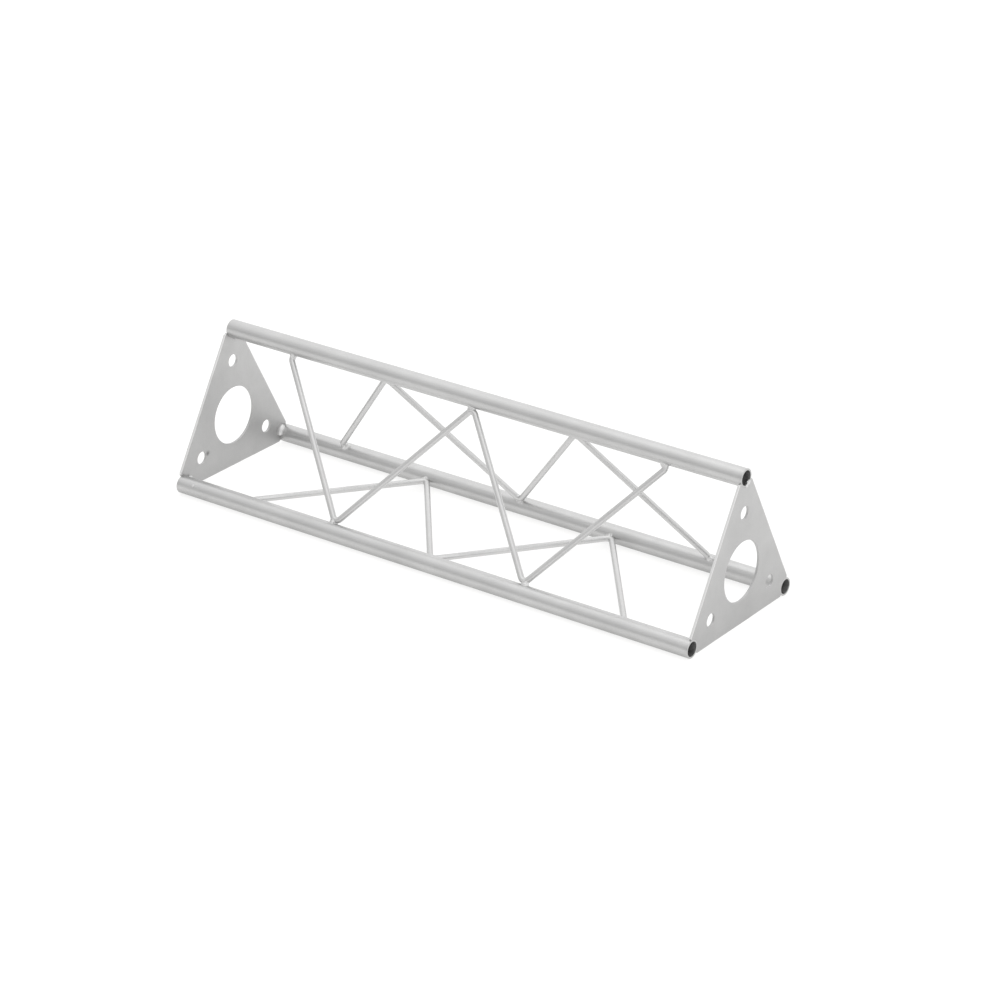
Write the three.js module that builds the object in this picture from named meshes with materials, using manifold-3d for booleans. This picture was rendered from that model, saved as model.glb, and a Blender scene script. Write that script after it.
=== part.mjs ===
// Triangular lighting truss section, 500 mm long, in millimetres with +Z up.
// Three steel chord tubes run along X. A bent rod zigzags across each of the three
// faces, a notched plate closes each end, and weld beads hold the pieces together.
// The origin is at mid-length on the floor, under the two lower chords.

import * as THREE from 'three';
import { mergeVertices } from 'three/addons/utils/BufferGeometryUtils.js';
import Module from 'manifold-3d';

// Driving dimensions.
const LENGTH = 500; // over the outer faces of the end plates
const CHORD_SPACING = 135; // between the axes of any two chords
const TUBE_RADIUS = 7.5;
const TUBE_WALL = 1.5;
const TUBE_END_CHAMFER = 0.3;
const LEFT_TUBE_SETBACK = 1.5; // the tubes stop this far short of the left plate's face
const PLATE_THICKNESS = 2;
const PLATE_INSET = 1.2; // plate edges lie this far inside the tubes' outer tangents
const NOTCH_HALF_ANGLE = THREE.MathUtils.degToRad(70); // a plate's blunt horns end here
const CENTRE_HOLE_RADIUS = 25;
const BOLT_HOLE_RADIUS = 5.5; // clearance for an M10 bolt
const BOLT_CIRCLE_RADIUS = 49;
const ROD_RADIUS = 2.5;
const ROD_BEND_RADIUS = 4.5; // of the rod's centre line
const NODE_PITCH = 92; // between neighbouring lacing nodes along X
const STUB_HEIGHT = 4; // from the chord's surface to the bend in a rod's end
const GAP = 0.3; // left between touching pieces

// Weld beads: half sizes along the chord, off the chord and across the face.
const APEX_WELD_SIZE = new THREE.Vector3(6.5, 3.2, 4.2);
const STUB_WELD_SIZE = new THREE.Vector3(5, 3, 4.4);
const PLATE_WELD_RADIUS = 2.2;
const PLATE_WELD_RISE = 0.8; // the bead's centre line off the tube and off the plate
const PLATE_WELD_HALF_ANGLE = THREE.MathUtils.degToRad(58);

// How finely round surfaces are divided.
const TUBE_SEGMENTS = 48;
const ROD_SEGMENTS = 12;
const BEND_STEPS = 6;
const CENTRE_HOLE_SEGMENTS = 60;
const BOLT_HOLE_SEGMENTS = 24;
const NOTCH_STEPS = 20;
const PLATE_WELD_STEPS = 10;
const WELD_SEGMENTS = 16;

// Layout across the section: y is the width and z the height.
const CORNER_RADIUS = CHORD_SPACING / Math.sqrt(3); // section centre to a chord's axis
const CENTRE_HEIGHT = TUBE_RADIUS + CORNER_RADIUS / 2;
const CORNERS = [
  { name: 'top', angle: Math.PI / 2 },
  { name: 'front', angle: (Math.PI * 7) / 6 },
  { name: 'back', angle: (Math.PI * 11) / 6 },
];
const FACE_NAMES = ['front', 'bottom', 'back']; // face k joins corner k to the next one
const ENDS = [
  { name: 'left', side: -1 },
  { name: 'right', side: 1 },
];

const wasm = await Module();
wasm.setup();

function painted(color, roughness, metalness) {
  return new THREE.MeshStandardMaterial({ color, roughness, metalness });
}

function addPiece(parent, name, geometry, material) {
  const mesh = new THREE.Mesh(geometry, material);
  mesh.name = name;
  parent.add(mesh);
}

// A closed geometry as a solid that can be cut.
function solidOf(geometry) {
  const bare = geometry.clone();
  bare.deleteAttribute('normal');
  bare.deleteAttribute('uv');
  const merged = mergeVertices(bare, 1e-4);
  return new wasm.Manifold(new wasm.Mesh({
    numProp: 3,
    vertProperties: new Float32Array(merged.getAttribute('position').array),
    triVerts: new Uint32Array(merged.getIndex().array),
  }));
}

function geometryOf(solid) {
  const mesh = solid.getMesh();
  const geometry = new THREE.BufferGeometry();
  geometry.setAttribute('position', new THREE.BufferAttribute(mesh.vertProperties, 3));
  geometry.setIndex(new THREE.BufferAttribute(mesh.triVerts, 1));
  const faceted = geometry.toNonIndexed();
  faceted.computeVertexNormals();
  return faceted;
}

// The point of the section at a distance from its centre, in the direction of an angle.
function sectionPoint(angle, radius) {
  return new THREE.Vector3(0, radius * Math.cos(angle), CENTRE_HEIGHT + radius * Math.sin(angle));
}

// A face's own directions: from its first chord across to its second, and outwards.
function faceFrame(faceIndex) {
  const first = sectionPoint(CORNERS[faceIndex].angle, CORNER_RADIUS);
  const second = sectionPoint(CORNERS[(faceIndex + 1) % CORNERS.length].angle, CORNER_RADIUS);
  const along = new THREE.Vector3(1, 0, 0);
  const across = second.clone().sub(first).normalize();
  const outward = new THREE.Vector3().crossVectors(across, along).normalize();
  return { first, along, across, outward };
}

// A path with given points and directions, visited at equal steps of its parameter.
class StationPath extends THREE.Curve {
  constructor(points, tangents) {
    super();
    this.points = points;
    this.tangents = tangents;
  }

  getPointAt(u) {
    return this.points[Math.round(u * (this.points.length - 1))].clone();
  }

  getTangentAt(u) {
    return this.tangents[Math.round(u * (this.tangents.length - 1))].clone();
  }
}

// The centre line of a rod bent round an arc at each inner corner of a line of corners.
function bentPath(corners, bendRadius) {
  const directions = corners.slice(1).map((corner, i) => corner.clone().sub(corners[i]).normalize());
  const points = [corners[0].clone()];
  const tangents = [directions[0].clone()];
  for (let i = 1; i < corners.length - 1; i += 1) {
    const before = directions[i - 1];
    const after = directions[i];
    const turn = before.angleTo(after);
    const inward = after.clone().sub(before).normalize();
    const arcCentre = corners[i].clone().addScaledVector(inward, bendRadius / Math.cos(turn / 2));
    const hinge = new THREE.Vector3().crossVectors(before, after).normalize();
    const firstSpoke = corners[i].clone()
      .addScaledVector(before, -bendRadius * Math.tan(turn / 2))
      .sub(arcCentre);
    for (let step = 0; step <= BEND_STEPS; step += 1) {
      const turned = (turn * step) / BEND_STEPS;
      points.push(firstSpoke.clone().applyAxisAngle(hinge, turned).add(arcCentre));
      tangents.push(before.clone().applyAxisAngle(hinge, turned));
    }
  }
  points.push(corners[corners.length - 1].clone());
  tangents.push(directions[directions.length - 1].clone());
  return new StationPath(points, tangents);
}

function sweptRound(path, radius) {
  const outline = Array.from({ length: ROD_SEGMENTS }, (_, i) => {
    const angle = (2 * Math.PI * i) / ROD_SEGMENTS;
    return new THREE.Vector2(radius * Math.cos(angle), radius * Math.sin(angle));
  });
  return new THREE.ExtrudeGeometry(new THREE.Shape(outline), {
    steps: path.points.length - 1,
    extrudePath: path,
  });
}

// Chord tube: a ring section with lightly chamfered ends, turned about X.
function tubeGeometry(startX, endX) {
  const bore = TUBE_RADIUS - TUBE_WALL;
  const length = endX - startX;
  const profile = [
    new THREE.Vector2(bore, 0),
    new THREE.Vector2(TUBE_RADIUS - TUBE_END_CHAMFER, 0),
    new THREE.Vector2(TUBE_RADIUS, TUBE_END_CHAMFER),
    new THREE.Vector2(TUBE_RADIUS, length - TUBE_END_CHAMFER),
    new THREE.Vector2(TUBE_RADIUS - TUBE_END_CHAMFER, length),
    new THREE.Vector2(bore, length),
    new THREE.Vector2(bore, 0),
  ];
  return new THREE.LatheGeometry(profile, TUBE_SEGMENTS)
    .rotateZ(-Math.PI / 2)
    .translate(startX, 0, 0);
}

// The space that a chord and its clearance take up, longer than the truss.
function chordCutter(corner) {
  const axis = sectionPoint(corner.angle, CORNER_RADIUS);
  return solidOf(new THREE.CylinderGeometry(
    TUBE_RADIUS + GAP, TUBE_RADIUS + GAP, LENGTH + 2 * TUBE_RADIUS, TUBE_SEGMENTS,
  ).rotateZ(Math.PI / 2).translate(axis.x, axis.y, axis.z));
}

// End plate: a triangle notched round each chord, with a centre hole and three bolt holes.
// A notch is an arc that ends on each side in a blunt horn, reaching out to the plate's edge.
function plateGeometry() {
  const notchRadius = TUBE_RADIUS + GAP;
  const hornRadius = (TUBE_RADIUS - PLATE_INSET) / Math.sin(NOTCH_HALF_ANGLE - Math.PI / 6);
  const outline = CORNERS.flatMap(({ angle }) => {
    const axis = new THREE.Vector2(Math.cos(angle), Math.sin(angle)).multiplyScalar(CORNER_RADIUS);
    const pointAt = (share, radius) => {
      const turn = angle + Math.PI + NOTCH_HALF_ANGLE * share;
      return new THREE.Vector2(Math.cos(turn), Math.sin(turn)).multiplyScalar(radius).add(axis);
    };
    const arc = Array.from({ length: NOTCH_STEPS + 1 }, (_, i) => (
      pointAt(1 - (2 * i) / NOTCH_STEPS, notchRadius)
    ));
    return [pointAt(1, hornRadius), ...arc, pointAt(-1, hornRadius)];
  });
  const shape = new THREE.Shape(outline);
  shape.holes.push(roundHole(0, 0, CENTRE_HOLE_RADIUS, CENTRE_HOLE_SEGMENTS));
  for (const { angle } of CORNERS) {
    const x = BOLT_CIRCLE_RADIUS * Math.cos(angle);
    const y = BOLT_CIRCLE_RADIUS * Math.sin(angle);
    shape.holes.push(roundHole(x, y, BOLT_HOLE_RADIUS, BOLT_HOLE_SEGMENTS));
  }
  return new THREE.ExtrudeGeometry(shape, { depth: PLATE_THICKNESS, bevelEnabled: false })
    .rotateX(Math.PI / 2)
    .rotateZ(Math.PI / 2);
}

function roundHole(x, y, radius, segments) {
  return new THREE.Path(Array.from({ length: segments }, (_, i) => {
    const angle = (2 * Math.PI * i) / segments;
    return new THREE.Vector2(x + radius * Math.cos(angle), y + radius * Math.sin(angle));
  }));
}

// Lacing rod: square stubs on the first chord at both ends, and two bends on the second.
function lacingPath(frame, stubStart) {
  const near = TUBE_RADIUS;
  const far = CHORD_SPACING - TUBE_RADIUS;
  const legSlope = NODE_PITCH / (far - near);
  const stubX = 2 * NODE_PITCH - STUB_HEIGHT * legSlope;
  const stations = [
    [-stubX, stubStart],
    [-stubX, near + STUB_HEIGHT],
    [-NODE_PITCH, far],
    [0, near],
    [NODE_PITCH, far],
    [stubX, near + STUB_HEIGHT],
    [stubX, stubStart],
  ];
  const corners = stations.map(([x, v]) => frame.first.clone()
    .addScaledVector(frame.along, x)
    .addScaledVector(frame.across, v));
  return bentPath(corners, ROD_BEND_RADIUS);
}

// Where a lacing meets its chords, in order along X.
function lacingNodes() {
  const stubX = 2 * NODE_PITCH - (STUB_HEIGHT * NODE_PITCH) / (CHORD_SPACING - 2 * TUBE_RADIUS);
  const near = TUBE_RADIUS + GAP;
  const far = CHORD_SPACING - near;
  return [
    { x: -stubX, v: near, size: STUB_WELD_SIZE },
    { x: -NODE_PITCH, v: far, size: APEX_WELD_SIZE },
    { x: 0, v: near, size: APEX_WELD_SIZE },
    { x: NODE_PITCH, v: far, size: APEX_WELD_SIZE },
    { x: stubX, v: near, size: STUB_WELD_SIZE },
  ];
}

// Weld at a lacing node: a rounded bead wrapped round the rod and seated on the chord.
function lacingWeldGeometry(frame, node, cutters) {
  const basis = new THREE.Matrix4().makeBasis(frame.along, frame.across, frame.outward.clone().negate());
  const centre = frame.first.clone()
    .addScaledVector(frame.along, node.x)
    .addScaledVector(frame.across, node.v);
  const bead = new THREE.SphereGeometry(1, WELD_SEGMENTS, WELD_SEGMENTS / 2)
    .scale(node.size.x, node.size.y, node.size.z)
    .applyMatrix4(basis)
    .translate(centre.x, centre.y, centre.z);
  return geometryOf(cutters.reduce((solid, cutter) => solid.subtract(cutter), solidOf(bead)));
}

// Weld between a chord and an end plate: a fillet round the inner part of the chord.
function plateWeldGeometry(corner, side, chord) {
  const axis = sectionPoint(corner.angle, CORNER_RADIUS);
  const plateFace = side * (LENGTH / 2 - PLATE_THICKNESS - GAP);
  const radius = TUBE_RADIUS + PLATE_WELD_RISE;
  const points = [];
  const tangents = [];
  for (let step = 0; step <= PLATE_WELD_STEPS; step += 1) {
    const share = (2 * step) / PLATE_WELD_STEPS - 1;
    const angle = corner.angle + Math.PI + PLATE_WELD_HALF_ANGLE * share;
    points.push(new THREE.Vector3(
      plateFace - side * PLATE_WELD_RISE,
      axis.y + radius * Math.cos(angle),
      axis.z + radius * Math.sin(angle),
    ));
    tangents.push(new THREE.Vector3(0, -Math.sin(angle), Math.cos(angle)));
  }
  const bead = solidOf(sweptRound(new StationPath(points, tangents), PLATE_WELD_RADIUS));
  const thickness = 2 * PLATE_WELD_RADIUS;
  const plate = solidOf(new THREE.BoxGeometry(thickness, CHORD_SPACING, CHORD_SPACING)
    .translate(plateFace + (side * thickness) / 2, axis.y, axis.z));
  return geometryOf(bead.subtract(chord).subtract(plate));
}

function addChords(truss) {
  for (const corner of CORNERS) {
    const tube = tubeGeometry(-LENGTH / 2 + LEFT_TUBE_SETBACK, LENGTH / 2);
    const axis = sectionPoint(corner.angle, CORNER_RADIUS);
    tube.translate(axis.x, axis.y, axis.z);
    addPiece(truss, `chord_tube_${corner.name}`, tube, painted(0xc9cacb, 0.4, 0.6));
  }
}

function addEndPlates(truss, chordCutters) {
  for (const { name, side } of ENDS) {
    const innerX = side > 0 ? LENGTH / 2 - PLATE_THICKNESS : -LENGTH / 2;
    const plate = plateGeometry().translate(innerX, 0, CENTRE_HEIGHT);
    addPiece(truss, `end_plate_${name}`, plate, painted(0xbfc0c1, 0.5, 0.55));
    CORNERS.forEach((corner, i) => {
      const bead = plateWeldGeometry(corner, side, chordCutters[i]);
      addPiece(truss, `plate_weld_${name}_${corner.name}`, bead, painted(0xd2d3d3, 0.45, 0.5));
    });
  }
}

function addLacings(truss, chordCutters) {
  FACE_NAMES.forEach((faceName, k) => {
    const frame = faceFrame(k);
    const rod = sweptRound(lacingPath(frame, TUBE_RADIUS + GAP), ROD_RADIUS);
    addPiece(truss, `lacing_rod_${faceName}`, rod, painted(0xc4c5c6, 0.42, 0.6));
    const rodCutter = solidOf(sweptRound(lacingPath(frame, 0), ROD_RADIUS + GAP));
    const cutters = [rodCutter, chordCutters[k], chordCutters[(k + 1) % CORNERS.length]];
    lacingNodes().forEach((node, i) => {
      const bead = lacingWeldGeometry(frame, node, cutters);
      addPiece(truss, `lacing_weld_${faceName}_${i + 1}`, bead, painted(0xcfd0d0, 0.45, 0.5));
    });
  });
}

function makeTruss() {
  const truss = new THREE.Group();
  const chordCutters = CORNERS.map(chordCutter);
  addChords(truss);
  addEndPlates(truss, chordCutters);
  addLacings(truss, chordCutters);
  return truss;
}

export default makeTruss();
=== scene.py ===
"""Looks of a triangular lighting truss section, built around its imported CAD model.

Every piece is a finer mesh that stands for one CAD node: chord tubes with rounded
rims, end plates with rounded edges, round bent rods and lumpy weld beads, all under
one satin silver-grey coat. Lengths are in metres.
"""

import math

import bmesh
import bpy
import numpy as np
from mathutils import Matrix, Vector


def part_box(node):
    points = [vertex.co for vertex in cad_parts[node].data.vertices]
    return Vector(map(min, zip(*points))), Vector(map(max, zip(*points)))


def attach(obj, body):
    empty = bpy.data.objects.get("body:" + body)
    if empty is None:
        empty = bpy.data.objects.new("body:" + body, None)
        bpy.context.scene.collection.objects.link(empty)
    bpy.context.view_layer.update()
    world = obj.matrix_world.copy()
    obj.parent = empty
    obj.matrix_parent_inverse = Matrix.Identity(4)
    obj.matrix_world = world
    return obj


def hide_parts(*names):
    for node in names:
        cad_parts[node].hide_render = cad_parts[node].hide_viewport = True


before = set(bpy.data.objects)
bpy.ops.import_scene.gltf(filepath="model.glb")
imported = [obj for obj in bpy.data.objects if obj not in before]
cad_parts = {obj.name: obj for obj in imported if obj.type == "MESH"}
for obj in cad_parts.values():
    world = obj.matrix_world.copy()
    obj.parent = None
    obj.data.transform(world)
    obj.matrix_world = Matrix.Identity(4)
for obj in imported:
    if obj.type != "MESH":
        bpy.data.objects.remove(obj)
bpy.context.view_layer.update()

MM = 0.001

# What the CAD boxes don't say about the pieces.
TUBE_WALL = 1.5 * MM
TUBE_RIM_ROUND = 0.3 * MM
PLATE_INSET = 1.2 * MM  # from the tubes' outer tangents in to the plate's edges
PLATE_EDGE_ROUND = 0.22 * MM
CENTRE_HOLE_RADIUS = 25 * MM
BOLT_HOLE_RADIUS = 5.5 * MM
BOLT_CIRCLE_RADIUS = 49 * MM
NOTCH_HALF_ANGLE = math.radians(70)  # a plate's blunt horns end here, beside its tubes
ROD_BEND_RADIUS = 4.5 * MM
STUB_HEIGHT = 4 * MM  # from the chord's surface to the bend in a rod's end
STUB_SUNK = 0.5 * MM  # how far a stub's square end goes into the chord

# Camera: a long lens a little above the truss, off its right-hand front corner.
VIEW_AZIMUTH = math.radians(34.934)
VIEW_ELEVATION = math.radians(24.531)
VIEW_ROLL = math.radians(0.995)
VIEW_DISTANCE = 2.8029
VIEW_TARGET = Vector((0.01834, 0.00864, 0.0390))
FOCAL_LENGTH = 126.43  # this and the sensor's width are in millimetres
SENSOR_WIDTH = 36

# Studio: a tent, darkest low at the front left and brightest in a ring 50 degrees from
# TENT_DIRECTION, over a pale floor that glows a little itself. A stop is (cosine of the
# angle from that direction, brightness).
TENT_DIRECTION = (0.35, 0.55, 0.76)
TENT_STOPS = [(-0.65, 0.56), (-0.28, 0.755), (0.07, 1.015), (0.5, 1.24), (0.64, 1.34), (0.95, 1.0)]
FLOOR_GLOW = 0.80
FLOOR_TONES = (0.25, 0.27)
FLOOR_HALF_SIZE = 6.0

CORNERS = {"top": 90, "front": 210, "back": 330}  # directions across the section, degrees
FACES = {"front": ("top", "front"), "bottom": ("front", "back"), "back": ("back", "top")}
ENDS = {"left": -1, "right": 1}


# ---------------------------------------------------------------- layout from the frame

class Chord:
    """A chord tube's axis, radius and ends, read from its CAD node."""

    def __init__(self, name):
        low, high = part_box(f"chord_tube_{name}")
        self.name = name
        self.angle = math.radians(CORNERS[name])
        self.start_x = low.x
        self.end_x = high.x
        self.radius = (high.z - low.z) / 2
        self.y = (low.y + high.y) / 2
        self.z = (low.z + high.z) / 2

    def axis_point(self, x):
        return Vector((x, self.y, self.z))


CHORDS = {name: Chord(name) for name in CORNERS}
SECTION_CENTRE = sum((c.axis_point(0) for c in CHORDS.values()), Vector()) / len(CHORDS)
TUBE_RADIUS = CHORDS["top"].radius
CORNER_RADIUS = CHORDS["top"].z - SECTION_CENTRE.z


def face_directions(face):
    """A face's first chord, second chord, and the directions across it and out of it."""
    first, second = (CHORDS[name] for name in FACES[face])
    across = (second.axis_point(0) - first.axis_point(0)).normalized()
    outward = across.cross(Vector((1, 0, 0)))
    return first, second, across, outward


def node_x(face, number):
    """Where along X one of a rod's five beads lies."""
    low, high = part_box(f"lacing_weld_{face}_{number}")
    return (low.x + high.x) / 2


def rod_radius():
    low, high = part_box("lacing_rod_bottom")
    return (high.z - low.z) / 2


ROD_RADIUS = rod_radius()


# ---------------------------------------------------------------- materials

class Nodes:
    """A short way to add and link shader nodes."""

    def __init__(self, name):
        self.material = bpy.data.materials.new(name)
        self.material.use_nodes = True
        self.tree = self.material.node_tree
        self.shader = self.tree.nodes["Principled BSDF"]

    def add(self, kind, inputs=(), **settings):
        node = self.tree.nodes.new(f"ShaderNode{kind}")
        for key, value in settings.items():
            setattr(node, key, value)
        for key, value in dict(inputs).items():
            if isinstance(value, bpy.types.NodeSocket):
                self.tree.links.new(value, node.inputs[key])
            else:
                node.inputs[key].default_value = value
        return node

    def link(self, output, socket_name):
        self.tree.links.new(output, self.shader.inputs[socket_name])

    def scaled(self, vector, scale):
        return self.add("Mapping", {"Vector": vector, "Scale": scale}).outputs["Vector"]

    def noise(self, vector, scale, detail=2.0, roughness=0.5):
        settings = {"Vector": vector, "Scale": scale, "Detail": detail, "Roughness": roughness}
        return self.add("TexNoise", settings).outputs["Fac"]

    def remap(self, value, low, high, new_low, new_high):
        settings = {"Value": value, "From Min": low, "From Max": high,
                    "To Min": new_low, "To Max": new_high}
        return self.add("MapRange", settings).outputs["Result"]

    def math(self, operation, first, second):
        return self.add("Math", {0: first, 1: second}, operation=operation).outputs["Value"]

    def jitter(self, value, noise, amount):
        """The value, moved up and down by up to about half the amount."""
        swing = self.math("MULTIPLY", self.math("SUBTRACT", noise, 0.5), amount)
        return self.math("ADD", value, swing)

    def mix(self, factor, first, second):
        """A mix of two colours. Sockets 6 and 7, and output 2, are the node's colour ones."""
        node = self.add("Mix", {"Factor": factor}, data_type="RGBA")
        for socket, value in zip((node.inputs[6], node.inputs[7]), (first, second)):
            if isinstance(value, bpy.types.NodeSocket):
                self.tree.links.new(value, socket)
            else:
                socket.default_value = value
        return node.outputs[2]


def grey(value):
    """A slightly warm grey."""
    return (value, value * 0.998, value * 0.994, 1.0)


# The coat: its noise scales in waves a metre, its look, and the steel that shows in chips.
CLOUD_SCALE = 26.0
SMUDGE_SCALE = 95.0
CHIP_SCALE = 620.0
PEEL_SCALE = 780.0
FLAKE_SCALE = 1900.0
STREAK_SCALE = (14.0, 900.0, 900.0)  # drawn out along the grain
COAT_METALLIC = 0.85
COAT_BUMP = 0.03 * MM
BARE_STEEL = (0.50, 0.49, 0.475, 1.0)

# Painted shade near the floor: the height that it reaches, and how much it darkens the steel at the
# floor.
TUBE_FLOOR_SHADE = (7.6 * MM, 0.42)
PLATE_FLOOR_SHADE = (60 * MM, 0.12)
FLOOR_SHADE_UNEVENNESS = 3 * MM

# A small dark mark on the left plate.
DARK_MARK_OFFSET = (0, 7.6 * MM, 1.7 * MM)  # from the middle of the bolt hole beside it
DARK_MARK_CORE = 0.8 * MM
DARK_MARK_RADIUS = 2.9 * MM
DARK_MARK_UNEVENNESS = 2 * MM
DARK_MARK_TONE = 0.18


def coat_material(name, tone, edge_wear_and_highlight_tone, roughness, grain, relief=0.5, ripple=0.0,
                  floor_shade=None, dark_mark=None):
    """Satin silver coat. It follows each piece's own grain attribute, and wears at edges, with a
    painted highlight on the plates' rims.

    grain is how strongly the drawn or rolled lines of the steel show through the coat,
    relief how strongly its bumps stand out, and ripple what its lines add to them. Of the
    last two arguments, the first is one of the pairs above, painted shade that darkens the
    coat towards the floor, and the second is the place of a small dark spot.
    """
    n = Nodes(name)
    place = n.add("TexCoord").outputs["Object"]
    along = n.add("Attribute", attribute_name="grain").outputs["Vector"]
    edge = n.add("Attribute", attribute_name="edge").outputs["Fac"]

    cloud = n.noise(place, CLOUD_SCALE, detail=3.0, roughness=0.55)
    flake = n.noise(place, FLAKE_SCALE, detail=1.0)
    streak = n.noise(n.scaled(along, STREAK_SCALE), 1.0, detail=3.0, roughness=0.6)
    smudge = n.noise(place, SMUDGE_SCALE, detail=4.0, roughness=0.6)
    chips = n.noise(place, CHIP_SCALE, detail=4.0, roughness=0.65)
    peel = n.noise(place, PEEL_SCALE, detail=2.0)

    # The sound coat: soft clouds, metal flake and faint lines, with painted shade darker near the
    # floor.
    shade = n.remap(cloud, 0.3, 0.7, 0.95, 1.04)
    shade = n.math("MULTIPLY", shade, n.remap(flake, 0.25, 0.75, 0.95, 1.05))
    shade = n.math("MULTIPLY", shade, n.remap(streak, 0.3, 0.7, 1 - grain, 1 + grain))
    # Painted shade: the coat darkens towards the floor, where the contact shade falls.
    if floor_shade:
        reach, darkening = floor_shade
        above_floor = n.add("SeparateXYZ", {"Vector": place}).outputs["Z"]
        above_floor = n.jitter(above_floor, cloud, FLOOR_SHADE_UNEVENNESS)
        shade = n.math("MULTIPLY", shade, n.remap(above_floor, 0.0, reach, 1 - darkening, 1.0))
    coat = n.mix(shade, grey(0.0), grey(tone))
    coat.node.clamp_factor = False  # the shade goes a little past 1

    # Rubbed edges in their own tone, much paler on the plates' rims as a painted highlight over the
    # wear, and chips down to the steel, most of them at an edge.
    bare = n.remap(n.math("ADD", n.math("MULTIPLY", edge, 0.22), chips), 0.86, 0.93, 0.0, 1.0)
    rubbed_and_highlit = n.remap(n.math("ADD", n.math("MULTIPLY", edge, 0.8), cloud), 0.85, 1.15, 0.0, 0.9)
    colour = n.mix(rubbed_and_highlit, coat, grey(edge_wear_and_highlight_tone))
    colour = n.mix(bare, colour, BARE_STEEL)
    # A small dark spot beside the left plate's front bolt hole, darkest in its middle.
    if dark_mark:
        away = n.add("VectorMath", {0: place, 1: dark_mark}, operation="DISTANCE").outputs["Value"]
        away = n.jitter(away, chips, DARK_MARK_UNEVENNESS)
        mark = n.remap(away, DARK_MARK_CORE, DARK_MARK_RADIUS, 0.85, 0.0)
        colour = n.mix(mark, colour, grey(DARK_MARK_TONE))
    n.link(colour, "Base Color")

    # Uneven gloss, a little shinier on rubbed edges and under the painted highlight, over small
    # bumps and shallow chips.
    gloss = n.remap(smudge, 0.25, 0.75, roughness - 0.05, roughness + 0.07)
    gloss = n.math("SUBTRACT", gloss, n.math("MULTIPLY", rubbed_and_highlit, 0.03))
    n.link(gloss, "Roughness")
    n.shader.inputs["Metallic"].default_value = COAT_METALLIC

    lines = n.math("MULTIPLY", streak, 0.35 + ripple)
    height = n.math("ADD", n.math("MULTIPLY", peel, 0.45), lines)
    height = n.math("SUBTRACT", height, n.math("MULTIPLY", bare, 0.6))
    bump = n.add("Bump", {"Height": height, "Distance": COAT_BUMP, "Strength": relief})
    n.link(bump.outputs["Normal"], "Normal")
    return n.material


# The inside of a tube: mottled steel with lines along it, and overspray at its ends.
BORE_MARK_SCALE = 240.0
BORE_STREAK_SCALE = (18.0, 700.0, 700.0)
BORE_DARK = 0.055
BORE_LIGHT = 0.13
BORE_LINE = 0.17
OVERSPRAY_TONE = 0.35
BORE_METALLIC = 0.4
BORE_BUMP = 0.05 * MM


def bore_material():
    """Dull uncoated steel inside a tube, with overspray fading inwards from the rim."""
    n = Nodes("bore_steel")
    place = n.add("TexCoord").outputs["Object"]
    along = n.add("Attribute", attribute_name="grain").outputs["Vector"]
    overspray = n.add("Attribute", attribute_name="edge").outputs["Fac"]
    marks = n.noise(place, BORE_MARK_SCALE, detail=5.0, roughness=0.6)
    streak = n.noise(n.scaled(along, BORE_STREAK_SCALE), 1.0, detail=3.0, roughness=0.6)
    mottled = n.mix(n.remap(marks, 0.3, 0.7, 0.0, 1.0), grey(BORE_DARK), grey(BORE_LIGHT))
    lined = n.mix(n.remap(streak, 0.45, 0.7, 0.0, 0.5), mottled, grey(BORE_LINE))
    dusted = n.math("MULTIPLY", overspray, n.remap(marks, 0.35, 0.65, 0.2, 0.6))
    n.link(n.mix(dusted, lined, grey(OVERSPRAY_TONE)), "Base Color")
    n.link(n.remap(marks, 0.3, 0.7, 0.5, 0.75), "Roughness")
    n.shader.inputs["Metallic"].default_value = BORE_METALLIC
    bump = n.add("Bump", {"Height": marks, "Distance": BORE_BUMP, "Strength": 0.5})
    n.link(bump.outputs["Normal"], "Normal")
    return n.material


def dark_mark_place():
    """Beside the front bolt hole, on the inner face of the left plate."""
    _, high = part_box("end_plate_left")
    turn = math.radians(CORNERS["front"])
    hole = Vector((0, math.cos(turn), math.sin(turn))) * BOLT_CIRCLE_RADIUS
    place = SECTION_CENTRE + hole + Vector(DARK_MARK_OFFSET)
    return (high.x, place.y, place.z)


# The one coat in four tones: the rods and welds are painted lighter than the tubes, as painted
# light, and the plates darker, as painted shade.
TUBE_COAT = coat_material("coat_on_tube", tone=0.55, edge_wear_and_highlight_tone=0.49, roughness=0.36,
                          grain=0.015, floor_shade=TUBE_FLOOR_SHADE)
# The plate coat's pale edge tone is a painted highlight along the plates' rims, over the edge wear.
PLATE_COAT = coat_material("coat_on_plate", tone=0.505, edge_wear_and_highlight_tone=0.80, roughness=0.42,
                           grain=0.012, floor_shade=PLATE_FLOOR_SHADE, dark_mark=dark_mark_place())
ROD_COAT = coat_material("coat_on_rod", tone=0.60, edge_wear_and_highlight_tone=0.66, roughness=0.33,
                         grain=0.012, relief=0.35)
WELD_COAT = coat_material("coat_on_weld", tone=0.655, edge_wear_and_highlight_tone=0.66, roughness=0.38,
                          grain=0.0, ripple=0.3)
BORE_STEEL = bore_material()


# ---------------------------------------------------------------- mesh helpers

def new_object(name, mesh, materials):
    obj = bpy.data.objects.new(name, mesh)
    for material in materials:
        mesh.materials.append(material)
    bpy.context.scene.collection.objects.link(obj)
    return obj


def finish_piece(obj, node, sharp_angle=35):
    """Smooth shading with crisp corners, then the piece stands for its CAD node."""
    mesh = obj.data
    mesh.shade_smooth()
    mesh.set_sharp_from_angle(angle=math.radians(sharp_angle))
    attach(obj, "root")
    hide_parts(node)


def fix_normals(mesh):
    shape = bmesh.new()
    shape.from_mesh(mesh)
    bmesh.ops.recalc_face_normals(shape, faces=shape.faces)
    shape.to_mesh(mesh)
    shape.free()


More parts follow.
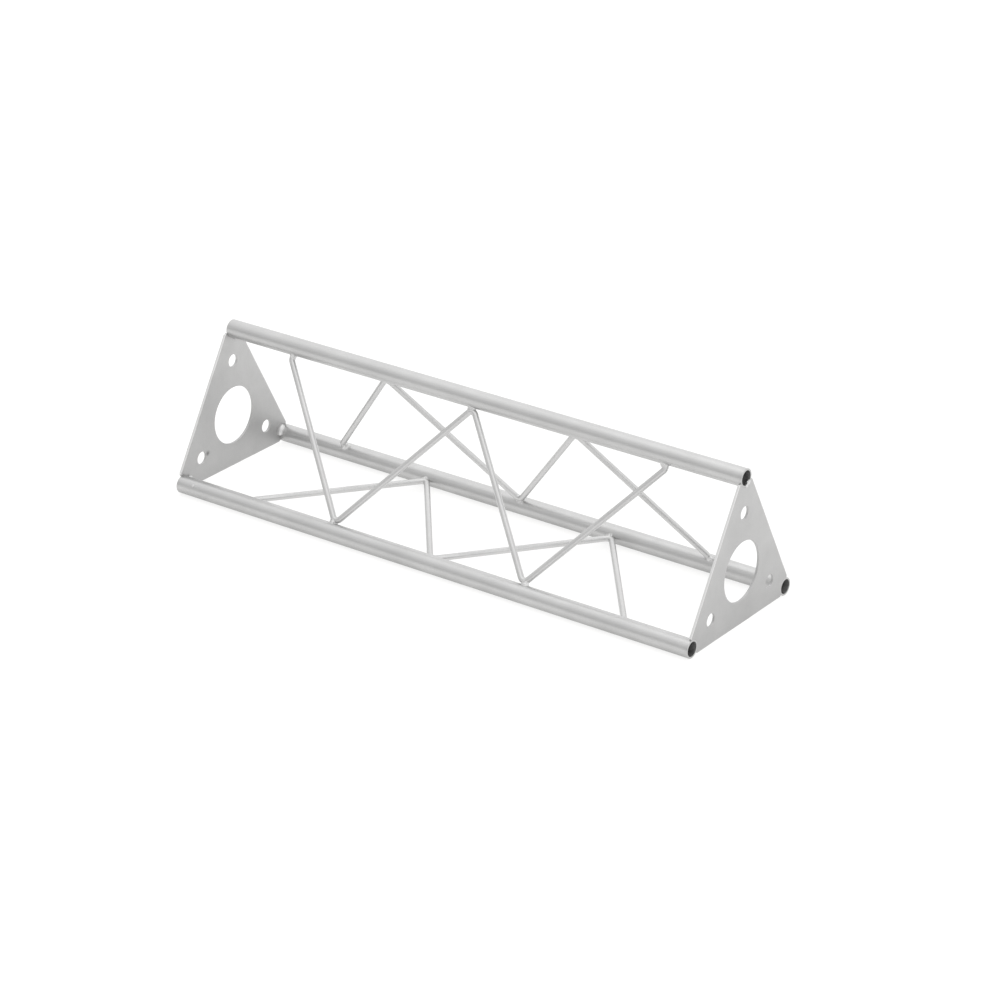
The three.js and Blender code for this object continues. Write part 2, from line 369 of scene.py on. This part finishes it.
def set_attribute(mesh, name, kind, values):
    attribute = mesh.attributes.new(name, kind, "POINT")
    field = "vector" if kind == "FLOAT_VECTOR" else "value"
    attribute.data.foreach_set(field, np.asarray(values, np.float32).ravel())


def mesh_points(mesh):
    points = np.empty(len(mesh.vertices) * 3)
    mesh.vertices.foreach_get("co", points)
    return points.reshape(-1, 3)


def turns_round(steps):
    return [2 * math.pi * j / steps for j in range(steps)]


def grid_mesh(name, rings, closed_row=False):
    """A mesh over closed rings of points. The row of rings is closed too, or has caps."""
    count = len(rings)
    size = len(rings[0])
    points = [p for ring in rings for p in ring]
    faces = []
    for i in range(count if closed_row else count - 1):
        for j in range(size):
            k = (j + 1) % size
            here = i * size
            there = ((i + 1) % count) * size
            faces.append((here + j, here + k, there + k, there + j))
    if not closed_row:
        faces.append(tuple(range(size - 1, -1, -1)))
        faces.append(tuple((count - 1) * size + j for j in range(size)))
    mesh = bpy.data.meshes.new(name)
    mesh.from_pydata([tuple(p) for p in points], [], faces)
    mesh.validate()
    return mesh


# ---------------------------------------------------------------- chord tubes

TUBE_SEGMENTS = 96
RIM_STEPS = 4
TUBE_SPANS = 40
OVERSPRAY_REACH = 6 * MM  # how far the coat blows into a bore
RIM_WEAR_REACH = 0.7 * MM


def rim_arc(centre_x, centre_r, start, end):
    """Points (x, radius) of a rounded rim between two angles."""
    turns = [start + (end - start) * i / RIM_STEPS for i in range(RIM_STEPS + 1)]
    return [(centre_x + TUBE_RIM_ROUND * math.cos(a), centre_r + TUBE_RIM_ROUND * math.sin(a))
            for a in turns]


def tube_profile(chord):
    """The tube wall's outline as (x, radius), once round: outside, right rim, bore, left rim."""
    outer = chord.radius
    bore = outer - TUBE_WALL
    left = chord.start_x + TUBE_RIM_ROUND
    right = chord.end_x - TUBE_RIM_ROUND
    spans = [left + (right - left) * i / TUBE_SPANS for i in range(1, TUBE_SPANS)]
    quarter = math.pi / 2
    profile = rim_arc(left, outer - TUBE_RIM_ROUND, 2 * quarter, quarter)
    profile += [(x, outer) for x in spans]
    profile += rim_arc(right, outer - TUBE_RIM_ROUND, quarter, 0)
    profile += rim_arc(right, bore + TUBE_RIM_ROUND, 0, -quarter)
    profile += [(x, bore) for x in reversed(spans)]
    profile += rim_arc(left, bore + TUBE_RIM_ROUND, -quarter, -2 * quarter)
    return profile


def make_chord(chord):
    rings = []
    for x, radius in tube_profile(chord):
        rings.append([(x, chord.y + radius * math.cos(a), chord.z + radius * math.sin(a))
                      for a in turns_round(TUBE_SEGMENTS)])
    mesh = grid_mesh(f"chord_tube_{chord.name}", rings, closed_row=True)
    fix_normals(mesh)
    points = mesh_points(mesh)
    from_axis = np.hypot(points[:, 1] - chord.y, points[:, 2] - chord.z)
    to_end = np.minimum(points[:, 0] - chord.start_x, chord.end_x - points[:, 0])
    in_bore = from_axis < chord.radius - TUBE_WALL + TUBE_RIM_ROUND / 2
    reach = np.where(in_bore, OVERSPRAY_REACH, RIM_WEAR_REACH)
    set_attribute(mesh, "edge", "FLOAT", np.clip(1 - to_end / reach, 0, 1))
    set_attribute(mesh, "grain", "FLOAT_VECTOR", points)
    obj = new_object(f"tube_{chord.name}", mesh, [TUBE_COAT, BORE_STEEL])
    for polygon in mesh.polygons:
        if all(in_bore[v] for v in polygon.vertices):
            polygon.material_index = 1
    finish_piece(obj, f"chord_tube_{chord.name}")


# ---------------------------------------------------------------- end plates

NOTCH_STEPS = 40
CENTRE_HOLE_STEPS = 128
BOLT_HOLE_STEPS = 64
ROUND_STEPS = 4
NOTCH_OVERLAP = 0.1 * MM
WEAR_AND_HIGHLIGHT_BAND = 1.0 * MM
HOLE_WEAR_AND_HIGHLIGHT = 0.25  # against 1 along a plate's free edges


def circle(y, z, radius, steps):
    return [(y + radius * math.cos(a), z + radius * math.sin(a)) for a in turns_round(steps)]


def plate_outline(inset):
    """The triangle in (y, z), drawn in all round: a notch and two blunt horns at each chord."""
    notch = TUBE_RADIUS - NOTCH_OVERLAP + inset
    half = NOTCH_HALF_ANGLE - inset / TUBE_RADIUS
    # A straight edge runs 30 degrees off the way in, and crosses a horn's blunt end here.
    horn = (TUBE_RADIUS - PLATE_INSET - inset) / math.sin(half - math.pi / 6)
    steps = [(1, horn)]
    steps += [(1 - 2 * i / NOTCH_STEPS, notch) for i in range(NOTCH_STEPS + 1)]
    steps += [(-1, horn)]
    outline = []
    for chord in CHORDS.values():
        for share, radius in steps:
            turn = chord.angle + math.pi + half * share
            outline.append((chord.y + radius * math.cos(turn), chord.z + radius * math.sin(turn)))
    return outline


def plate_loops(inset):
    """The plate's outline and its four holes, all drawn back from the metal's edge."""
    y, z = SECTION_CENTRE.y, SECTION_CENTRE.z
    loops = [plate_outline(inset)]
    loops.append(circle(y, z, CENTRE_HOLE_RADIUS + inset, CENTRE_HOLE_STEPS))
    for chord in CHORDS.values():
        hole_y = y + BOLT_CIRCLE_RADIUS * math.cos(chord.angle)
        hole_z = z + BOLT_CIRCLE_RADIUS * math.sin(chord.angle)
        loops.append(circle(hole_y, hole_z, BOLT_HOLE_RADIUS + inset, BOLT_HOLE_STEPS))
    return loops


def plate_wear_and_highlight():
    """How worn each point of a layer gets, and where the plates' rims take their painted highlight:
    free edges most, welded notches not at all.
    """
    corner = [1.0] + [0.0] * (NOTCH_STEPS + 1) + [1.0]
    holes = CENTRE_HOLE_STEPS + BOLT_HOLE_STEPS * len(CHORDS)
    return corner * len(CHORDS) + [HOLE_WEAR_AND_HIGHLIGHT] * holes


def plate_layers(low_x, high_x):
    """Steps (x, inset) over a plate's edge, from one flat face round to the other."""
    layers = [(low_x, WEAR_AND_HIGHLIGHT_BAND)]
    for centre_x, start in ((low_x + PLATE_EDGE_ROUND, 0), (high_x - PLATE_EDGE_ROUND, 1)):
        for i in range(ROUND_STEPS + 1):
            turn = (start + i / ROUND_STEPS) * math.pi / 2
            layers.append((centre_x - PLATE_EDGE_ROUND * math.cos(turn),
                           PLATE_EDGE_ROUND * (1 - math.sin(turn))))
    layers.append((high_x, WEAR_AND_HIGHLIGHT_BAND))
    return layers


def make_plate(end):
    low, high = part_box(f"end_plate_{end}")
    shape = bmesh.new()
    layers = plate_layers(low.x, high.x)
    rows = [[[shape.verts.new((x, y, z)) for y, z in loop] for loop in plate_loops(inset)]
            for x, inset in layers]
    for here, there in zip(rows, rows[1:]):
        for loop, next_loop in zip(here, there):
            for i in range(len(loop)):
                k = (i + 1) % len(loop)
                shape.faces.new((loop[i], loop[k], next_loop[k], next_loop[i]))
    for row in (rows[0], rows[-1]):
        rim = [shape.edges.get((loop[i - 1], loop[i])) for loop in row for i in range(len(loop))]
        bmesh.ops.triangle_fill(shape, use_beauty=True, use_dissolve=False, edges=rim)
    bmesh.ops.recalc_face_normals(shape, faces=shape.faces)
    mesh = bpy.data.meshes.new(f"end_plate_{end}")
    shape.to_mesh(mesh)
    shape.free()
    # The paler rim this gives the plates is edge wear with a painted highlight over it.
    wear_and_highlight = [(1 - inset / WEAR_AND_HIGHLIGHT_BAND) * share for _, inset in layers for share in plate_wear_and_highlight()]
    points = mesh_points(mesh)
    set_attribute(mesh, "edge", "FLOAT", wear_and_highlight)
    set_attribute(mesh, "grain", "FLOAT_VECTOR", points[:, [2, 1, 0]])
    obj = new_object(f"plate_{end}", mesh, [PLATE_COAT])
    finish_piece(obj, f"end_plate_{end}")


# ---------------------------------------------------------------- lacing rods

ROD_SEGMENTS = 32
BEND_STEPS = 14
LEG_STEPS = 12
SHORT_LEG = 20 * MM  # a stub shorter than this needs fewer steps
STUB_STEPS = 2


def lacing_corners(face):
    """Where a rod's straight legs would meet, from its left stub to its right one."""
    first, _, across, _ = face_directions(face)
    spacing = CORNER_RADIUS * math.sqrt(3)
    near = TUBE_RADIUS
    far = spacing - TUBE_RADIUS
    # A station is (x, distance across the face from the first chord's axis).
    stations = [
        (node_x(face, 1), near - STUB_SUNK),
        (node_x(face, 1), near + STUB_HEIGHT),
        (node_x(face, 2), far),
        (node_x(face, 3), near),
        (node_x(face, 4), far),
        (node_x(face, 5), near + STUB_HEIGHT),
        (node_x(face, 5), near - STUB_SUNK),
    ]
    return [first.axis_point(x) + across * distance for x, distance in stations]


def bent_line(corners, bend_radius):
    """Points and directions along a line of corners with an arc at each inner corner."""
    steps = [(b - a).normalized() for a, b in zip(corners, corners[1:])]
    trims = [0.0]
    for before, after in zip(steps, steps[1:]):
        trims.append(bend_radius * math.tan(before.angle(after) / 2))
    trims.append(0.0)
    points, directions = [], []
    for i, step in enumerate(steps):
        start = corners[i] + step * trims[i]
        end = corners[i + 1] - step * trims[i + 1]
        count = LEG_STEPS if (end - start).length > SHORT_LEG else STUB_STEPS
        for j in range(count + 1):
            points.append(start.lerp(end, j / count))
            directions.append(step)
        if i + 1 < len(steps):
            after = steps[i + 1]
            turn = step.angle(after)
            hinge = step.cross(after).normalized()
            centre = corners[i + 1] + (after - step).normalized() * bend_radius / math.cos(turn / 2)
            for j in range(1, BEND_STEPS):
                spin = Matrix.Rotation(turn * j / BEND_STEPS, 3, hinge)
                points.append(centre + spin @ (end - centre))
                directions.append(spin @ step)
    return points, directions


def make_rod(face):
    _, _, _, outward = face_directions(face)
    points, directions = bent_line(lacing_corners(face), ROD_BEND_RADIUS)
    rings, grain = [], []
    turns = turns_round(ROD_SEGMENTS)
    travelled = 0.0
    for i, (point, direction) in enumerate(zip(points, directions)):
        if i:
            travelled += (point - points[i - 1]).length
        side = outward.cross(direction).normalized()
        rings.append([point + (outward * math.cos(a) + side * math.sin(a)) * ROD_RADIUS
                      for a in turns])
        grain += [(travelled, ROD_RADIUS * math.cos(a), ROD_RADIUS * math.sin(a)) for a in turns]
    mesh = grid_mesh(f"lacing_rod_{face}", rings)
    fix_normals(mesh)
    set_attribute(mesh, "grain", "FLOAT_VECTOR", grain)
    set_attribute(mesh, "edge", "FLOAT", np.zeros(len(grain)))
    obj = new_object(f"rod_{face}", mesh, [ROD_COAT])
    finish_piece(obj, f"lacing_rod_{face}")


# ---------------------------------------------------------------- weld beads

WELD_GRID = 0.3 * MM
BEAD_LEAN = {  # the side along X that each rod bead lies on, in order along the rod
    "front": (0, -1, -1, 1, -1),
    "bottom": (0, -1, 1, -1, 0),
    "back": (1, -1, 0, 1, 1),
}
WELD_DEPTH = 0.75 * MM  # how far a bead reaches into the steel that it is fused to
LUMP_HEIGHT = 0.12 * MM

# Beads between a rod and a chord. A radius is measured from the middle of the bead, and a
# box is half the size of the space that a bead is sampled in.
BEND_BEAD_RADIUS = 3.3 * MM
END_BEAD_RADIUS = 3.0 * MM
BEAD_RADIUS_SWING = 0.5 * MM
BEAD_LIMIT = 6.6 * MM  # nothing of a bead is further out than this
BEAD_BOX = 7.2 * MM
BEAD_ROOT_BLEND = 2.2 * MM  # how widely the metal fills between rod and chord
BEAD_LUMP_BLEND = 1.0 * MM
BEAD_SKIN = 0.14 * MM
BEAD_TOE_SLOPE = 0.7
BEAD_RIPPLE_PITCH = 1.15 * MM
BEAD_RIPPLE_HEIGHT = 0.06 * MM
ROD_NEAR_BEAD = 26 * MM  # the stretch of rod that can shape a bead

# Fillets between a plate and a chord, each with a fat blob in its middle.
FILLET_TURN = {"top": 34, "front": -34, "back": -3}  # degrees round from straight in
FILLET_RISE = 0.8 * MM  # its middle line, from the tube and from the plate
FILLET_BLEND = 0.9 * MM
FILLET_TOE_REACH = 0.3 * MM
FILLET_TOE_SLOPE = 0.6
FILLET_SKIN = 0.05 * MM
FILLET_RIPPLE_PITCH = 1.7 * MM
FILLET_RIPPLE_HEIGHT = 0.10 * MM
FILLET_SKIRT = 1.6 * MM  # how far its thin edge can run out past its thickness
FILLET_BOX = 5.6 * MM  # to each side of the plate's face, and out from the tube
BLOB_RADIUS = {"top": 2.6 * MM, "front": 2.6 * MM, "back": 3.9 * MM}
BLOB_RISE = 1.4 * MM
BLOB_BLEND = 1.5 * MM

# Drops of weld metal.
DROP_BLEND = 0.8 * MM
DROP_LUMP_HEIGHT = 0.14 * MM
DROP_BOX = (5 * MM, 6 * MM, 6 * MM)


def smooth_union(a, b, width):
    """Two distance fields as one, filled in where they are within a width of each other."""
    share = np.clip(0.5 + 0.5 * (b - a) / width, 0, 1)
    return b * (1 - share) + a * share - width * share * (1 - share)


def tube_distance(points, chord):
    return np.hypot(points[..., 1] - chord.y, points[..., 2] - chord.z) - chord.radius


def line_distance(points, line):
    """How far each point is from a line of straight pieces."""
    nearest = np.full(points.shape[:-1], np.inf)
    for a, b in zip(line, line[1:]):
        a, b = np.array(a), np.array(b)
        span = b - a
        length = span @ span
        if length < 1e-12:
            continue
        share = np.clip(((points - a) @ span) / length, 0, 1)
        gap = points - a - share[..., None] * span
        nearest = np.minimum(nearest, np.sqrt((gap ** 2).sum(-1)))
    return nearest


def lumps(points, rng, size, count=6):
    """A soft random height field made of a few waves, between about -1 and 1."""
    total = np.zeros(points.shape[:-1])
    for _ in range(count):
        wave = rng.normal(size=3)
        wave *= 2 * math.pi / size / np.linalg.norm(wave)
        total += np.sin(points @ wave + rng.uniform(0, 2 * math.pi))
    return total / math.sqrt(count) * 0.8


CELL_CORNERS = [(i, j, k) for i in (0, 1) for j in (0, 1) for k in (0, 1)]


def joined(code):
    """Whether the corners of a cell that are set in a code hang together along its edges."""
    corners = {c for bit, c in enumerate(CELL_CORNERS) if code >> bit & 1}
    reached = {min(corners)} if corners else set()
    while True:
        near = {c for c in corners - reached
                if any(sum(abs(a - b) for a, b in zip(c, r)) == 1 for r in reached)}
        if not near:
            return reached == corners
        reached |= near


PINCHED_CODES = [code for code in range(256) if not (joined(code) and joined(255 - code))]


def cell_codes(inside):
    """Which corners of each cell are inside, as one number a cell."""
    nx, ny, nz = np.array(inside.shape) - 1
    codes = np.zeros((nx, ny, nz), int)
    for bit, (i, j, k) in enumerate(CELL_CORNERS):
        codes += inside[i:i + nx, j:j + ny, k:k + nz].astype(int) << bit
    return codes


def one_body(field):
    """A field whose zero surface is one closed body that never touches itself."""
    inside = field < 0
    while True:
        cells = np.argwhere(np.isin(cell_codes(inside), PINCHED_CODES))
        if not len(cells):
            break
        for corner in CELL_CORNERS:
            inside[tuple((cells + corner).T)] = True
    body = np.zeros_like(inside)
    body[np.unravel_index(np.argmin(field), field.shape)] = True
    size = 0
    while size != body.sum():
        size = body.sum()
        for axis in range(3):
            body |= np.roll(body, 1, axis) | np.roll(body, -1, axis)
            body &= inside
    least = WELD_GRID / 20
    return np.where(body, np.minimum(field, -least), np.maximum(field, least))


def surface_of(field, origin, step):
    """The closed surface where a sampled field crosses zero, as points and quads."""
    inside = field < 0
    codes = cell_codes(inside)
    cells = np.argwhere((codes > 0) & (codes < 255))
    index = np.full(codes.shape, -1)
    index[tuple(cells.T)] = np.arange(len(cells))
    total = np.zeros((len(cells), 3))
    crossings = np.zeros(len(cells))
    for a in CELL_CORNERS:
        for axis in range(3):
            if a[axis]:
                continue
            b = list(a)
            b[axis] = 1
            va = field[tuple((cells + a).T)]
            vb = field[tuple((cells + b).T)]
            crossed = (va < 0) != (vb < 0)
            share = np.where(crossed, va / np.where(crossed, va - vb, 1), 0)
            spot = cells + np.array(a, float)
            spot[:, axis] += share
            total += spot * crossed[:, None]
            crossings += crossed
    points = origin + total / crossings[:, None] * step
    quads = []
    for axis in range(3):
        u, v = (axis + 1) % 3, (axis + 2) % 3
        edges = np.argwhere(inside != np.roll(inside, -1, axis=axis))
        ring = []
        for du, dv in ((0, 0), (1, 0), (1, 1), (0, 1)):
            cell = edges.copy()
            cell[:, u] -= du
            cell[:, v] -= dv
            ring.append(index[tuple(cell.T)])
        faces = np.stack(ring, axis=1)
        flip = ~inside[tuple(edges.T)]
        faces[flip] = faces[flip][:, ::-1]
        quads.append(faces)
    return points, np.concatenate(quads)


def sample_box(centre, reach):
    """The lowest corner of a box around a centre, and the grid of points that fills it."""
    counts = [int(math.ceil(2 * r / WELD_GRID)) + 1 for r in reach]
    origin = np.array(centre) - np.array(reach)
    axes = [origin[i] + WELD_GRID * np.arange(counts[i]) for i in range(3)]
    return origin, np.stack(np.meshgrid(*axes, indexing="ij"), axis=-1)


def make_bead(node, centre, reach, field_at, kind=None):
    """A weld bead from a distance-like field around a centre."""
    origin, points = sample_box(centre, reach)
    verts, quads = surface_of(one_body(field_at(points)), origin, WELD_GRID)
    mesh = bpy.data.meshes.new(node)
    mesh.from_pydata(verts.tolist(), [], quads.tolist())
    points = mesh_points(mesh)
    set_attribute(mesh, "grain", "FLOAT_VECTOR", points)
    set_attribute(mesh, "edge", "FLOAT", np.zeros(len(points)))
    group, place = node.rsplit("weld_", 1)
    kind = kind or {"lacing_": "bead", "plate_": "fillet"}[group]
    obj = new_object(f"{kind}_{place}", mesh, [WELD_COAT])
    finish_piece(obj, node, sharp_angle=60)


def make_lacing_weld(face, number, seed):
    """A bead laid on one side of a rod's bend, with the crevice left open on the other."""
    first, second, across, outward = face_directions(face)
    chord = second if number in (2, 4) else first
    inward = -across if chord is second else across
    rng = np.random.default_rng(seed)
    contact = chord.axis_point(node_x(face, number)) + inward * chord.radius
    line, _ = bent_line(lacing_corners(face), ROD_BEND_RADIUS)
    line = [p for p in line if (p - contact).length < ROD_NEAR_BEAD]
    lean = BEAD_LEAN[face][number - 1] * rng.uniform(1.7, 2.3) * MM
    middle = np.array(contact + Vector((lean, 0, 0)) + inward * 0.5 * MM)
    blobs = []
    for size in (rng.uniform(1.7, 2.1), rng.uniform(1.1, 1.5)):
        spot = contact + Vector((lean * 1.5 + rng.uniform(-1.2, 1.2) * MM, 0, 0))
        spot += inward * rng.uniform(0.2, 0.8) * MM + outward * rng.uniform(-1.6, 1.6) * MM
        blobs.append((np.array(spot), size * MM))
    radius = BEND_BEAD_RADIUS if number in (2, 3, 4) else END_BEAD_RADIUS

    def field_at(points):
        steel = tube_distance(points, chord)
        rod = line_distance(points, line) - ROD_RADIUS
        field = smooth_union(steel, rod, BEAD_ROOT_BLEND)
        for spot, size in blobs:
            away = np.sqrt(((points - spot) ** 2).sum(-1)) - size
            field = smooth_union(field, away, BEAD_LUMP_BLEND)
        offset = points - middle
        distance = np.sqrt((offset ** 2).sum(-1))
        ripple = np.sin(distance / BEAD_RIPPLE_PITCH * 2 * math.pi) * BEAD_RIPPLE_HEIGHT
        rough = lumps(points, rng, size=2.2 * MM) * LUMP_HEIGHT
        edge = radius + lumps(offset, rng, size=5 * MM) * BEAD_RADIUS_SWING
        field = field - BEAD_SKIN + ripple + rough
        field = field + np.maximum(0, distance - edge) * BEAD_TOE_SLOPE
        field = np.maximum(field, -WELD_DEPTH - steel)
        return np.maximum(field, distance - BEAD_LIMIT)

    reach = (BEAD_BOX, BEAD_BOX, BEAD_BOX)
    make_bead(f"lacing_weld_{face}_{number}", middle, reach, field_at)


def make_plate_weld(end, chord, seed):
    """A short rippled fillet with a fat middle, in the corner between a chord and a plate."""
    side = ENDS[end]
    low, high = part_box(f"end_plate_{end}")
    plate_x = high.x if side < 0 else low.x
    rng = np.random.default_rng(seed)
    centre = chord.axis_point(plate_x)
    half_length = math.radians(rng.uniform(20, 26))
    tilt = math.radians(FILLET_TURN[chord.name] + rng.uniform(-4, 4))
    thickness = rng.uniform(2.4, 2.8) * MM

    def field_at(points):
        y = points[..., 1] - chord.y
        z = points[..., 2] - chord.z
        radial = np.hypot(y, z)
        turn = np.arctan2(z, y) - (chord.angle + math.pi + tilt)
        turn = (turn + math.pi) % (2 * math.pi) - math.pi
        from_plate = (plate_x - points[..., 0]) * side
        steel = radial - chord.radius
        arc = turn * chord.radius
        scallop = np.abs(((arc / FILLET_RIPPLE_PITCH) % 1) - 0.5) * 2
        ring = np.hypot(steel - FILLET_RISE, from_plate - FILLET_RISE)
        overrun = np.maximum(0, np.abs(turn) - half_length) * chord.radius
        bead = np.hypot(ring, overrun) - thickness + (1 - scallop ** 2) * FILLET_RIPPLE_HEIGHT
        blob = np.sqrt((steel - BLOB_RISE) ** 2 + (from_plate - BLOB_RISE) ** 2 + arc ** 2)
        bead = smooth_union(bead, blob - BLOB_RADIUS[chord.name], BLOB_BLEND)
        bead = bead + lumps(points, rng, size=4 * MM) * LUMP_HEIGHT
        corner = np.minimum(steel, from_plate)
        field = smooth_union(bead, corner, FILLET_BLEND)
        outside = np.hypot(np.maximum(ring - thickness, 0), overrun)
        toe = np.maximum(0, outside - FILLET_TOE_REACH) * FILLET_TOE_SLOPE
        field = field + toe - FILLET_SKIN
        buried = np.maximum(-WELD_DEPTH - steel, -WELD_DEPTH - from_plate)
        return np.maximum(np.maximum(field, buried), ring - thickness - FILLET_SKIRT)

    reach = (FILLET_BOX, chord.radius + FILLET_BOX, chord.radius + FILLET_BOX)
    make_bead(f"plate_weld_{end}_{chord.name}", centre, reach, field_at)


def make_drops(node, kind, chord, places, seed):
    """Drops of weld metal on a chord, which run into each other where they touch.

    A place is (x, degrees round the chord, distance from its axis, radius).
    """
    rng = np.random.default_rng(seed)
    spots = []
    for x, degrees, distance, radius in places:
        turn = math.radians(degrees)
        around = Vector((0, math.cos(turn), math.sin(turn)))
        spots.append((np.array(chord.axis_point(x) + around * distance), radius))

    def field_at(points):
        field = np.full(points.shape[:-1], 1.0)
        for spot, radius in spots:
            away = np.sqrt(((points - spot) ** 2).sum(-1)) - radius
            field = smooth_union(field, away, DROP_BLEND)
        return field + lumps(points, rng, size=1.6 * MM) * DROP_LUMP_HEIGHT

    middle = np.mean([spot for spot, _ in spots], axis=0)
    make_bead(node, middle, DROP_BOX, field_at, kind)


def make_spatter():
    """Weld metal over the rim of the top tube, and a drop on the front tube's left end."""
    _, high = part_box("end_plate_right")
    rim_x = high.x - 0.4 * MM
    over_rim = [(rim_x, -46, 5.9 * MM, 1.6 * MM),
                (rim_x, -62, 5.8 * MM, 1.7 * MM),
                (rim_x, -84, 6.9 * MM, 1.4 * MM)]
    make_drops("plate_weld_right_top", "run_over", CHORDS["top"], over_rim, seed=5)
    chord = CHORDS["front"]
    drop = [(chord.start_x + 16.5 * MM, 140, chord.radius - 0.2 * MM, 1.15 * MM)]
    make_drops("plate_weld_left_front", "spatter", chord, drop, seed=8)


# ---------------------------------------------------------------- studio

def make_floor():
    n = Nodes("studio_floor")
    place = n.add("TexCoord").outputs["Object"]
    cloud = n.noise(place, scale=3.0)
    darker, lighter = (grey(tone) for tone in FLOOR_TONES)
    n.link(n.mix(n.remap(cloud, 0.3, 0.7, 0.0, 1.0), darker, lighter), "Base Color")
    n.shader.inputs["Roughness"].default_value = 0.9
    n.shader.inputs["Specular IOR Level"].default_value = 0.1
    n.shader.inputs["Emission Color"].default_value = grey(1.0)
    n.shader.inputs["Emission Strength"].default_value = FLOOR_GLOW
    size = FLOOR_HALF_SIZE
    mesh = bpy.data.meshes.new("floor")
    corners = [(-size, -size, 0), (size, -size, 0), (size, size, 0), (-size, size, 0)]
    mesh.from_pydata(corners, [], [(0, 1, 2, 3)])
    floor = new_object("floor", mesh, [n.material])


def make_world():
    """A pale tent, whose brightness depends on the angle from TENT_DIRECTION alone."""
    world = bpy.data.worlds.new("studio")
    world.use_nodes = True
    tree = world.node_tree
    background = tree.nodes["Background"]
    coordinates = tree.nodes.new("ShaderNodeTexCoord")
    facing = tree.nodes.new("ShaderNodeVectorMath")
    facing.operation = "DOT_PRODUCT"
    facing.inputs[1].default_value = TENT_DIRECTION
    spread = tree.nodes.new("ShaderNodeMapRange")
    spread.inputs["From Min"].default_value = -1.0
    ramp = tree.nodes.new("ShaderNodeValToRGB")
    tree.links.new(coordinates.outputs["Generated"], facing.inputs[0])
    tree.links.new(facing.outputs["Value"], spread.inputs["Value"])
    tree.links.new(spread.outputs["Result"], ramp.inputs["Fac"])
    tree.links.new(ramp.outputs["Color"], background.inputs["Color"])
    stops = ramp.color_ramp.elements
    stops.remove(stops[-1])
    for i, (cosine, brightness) in enumerate(TENT_STOPS):
        position = (cosine + 1) / 2
        stop = stops.new(position) if i else stops[0]
        stop.position = position
        stop.color = (brightness, brightness, brightness, 1)
    bpy.context.scene.world = world


def add_softbox(name, place, target, size, power):
    light = bpy.data.lights.new(name, "AREA")
    light.shape = "RECTANGLE"
    light.size, light.size_y = size
    light.energy = power
    obj = bpy.data.objects.new(name, light)
    obj.location = place
    obj.rotation_euler = (Vector(target) - Vector(place)).to_track_quat("-Z", "Y").to_euler()
    bpy.context.scene.collection.objects.link(obj)


def make_camera():
    away = Vector((math.sin(VIEW_AZIMUTH) * math.cos(VIEW_ELEVATION),
                   -math.cos(VIEW_AZIMUTH) * math.cos(VIEW_ELEVATION),
                   math.sin(VIEW_ELEVATION)))
    lens = bpy.data.cameras.new("camera")
    lens.lens = FOCAL_LENGTH
    lens.sensor_width = SENSOR_WIDTH
    lens.clip_end = 50
    camera = bpy.data.objects.new("camera", lens)
    camera.location = VIEW_TARGET + away * VIEW_DISTANCE
    turn = (-away).to_track_quat("-Z", "Y").to_matrix() @ Matrix.Rotation(VIEW_ROLL, 3, "Z")
    camera.rotation_euler = turn.to_euler()
    bpy.context.scene.collection.objects.link(camera)
    bpy.context.scene.camera = camera


# ---------------------------------------------------------------- the whole scene

make_camera()
make_world()
make_floor()
add_softbox("overhead", place=(0.0, 0.3, 2.2), target=(0, 0, 0), size=(2.6, 2.0), power=4)

for chord in CHORDS.values():
    make_chord(chord)
for end in ENDS:
    make_plate(end)
    for i, chord in enumerate(CHORDS.values()):
        make_plate_weld(end, chord, seed=11 + 7 * i + 3 * ENDS[end])
make_spatter()
for i, face in enumerate(FACES):
    make_rod(face)
    for number in range(1, 6):
        make_lacing_weld(face, number, seed=100 + 10 * i + number)

bpy.context.scene.view_settings.view_transform = "Standard"
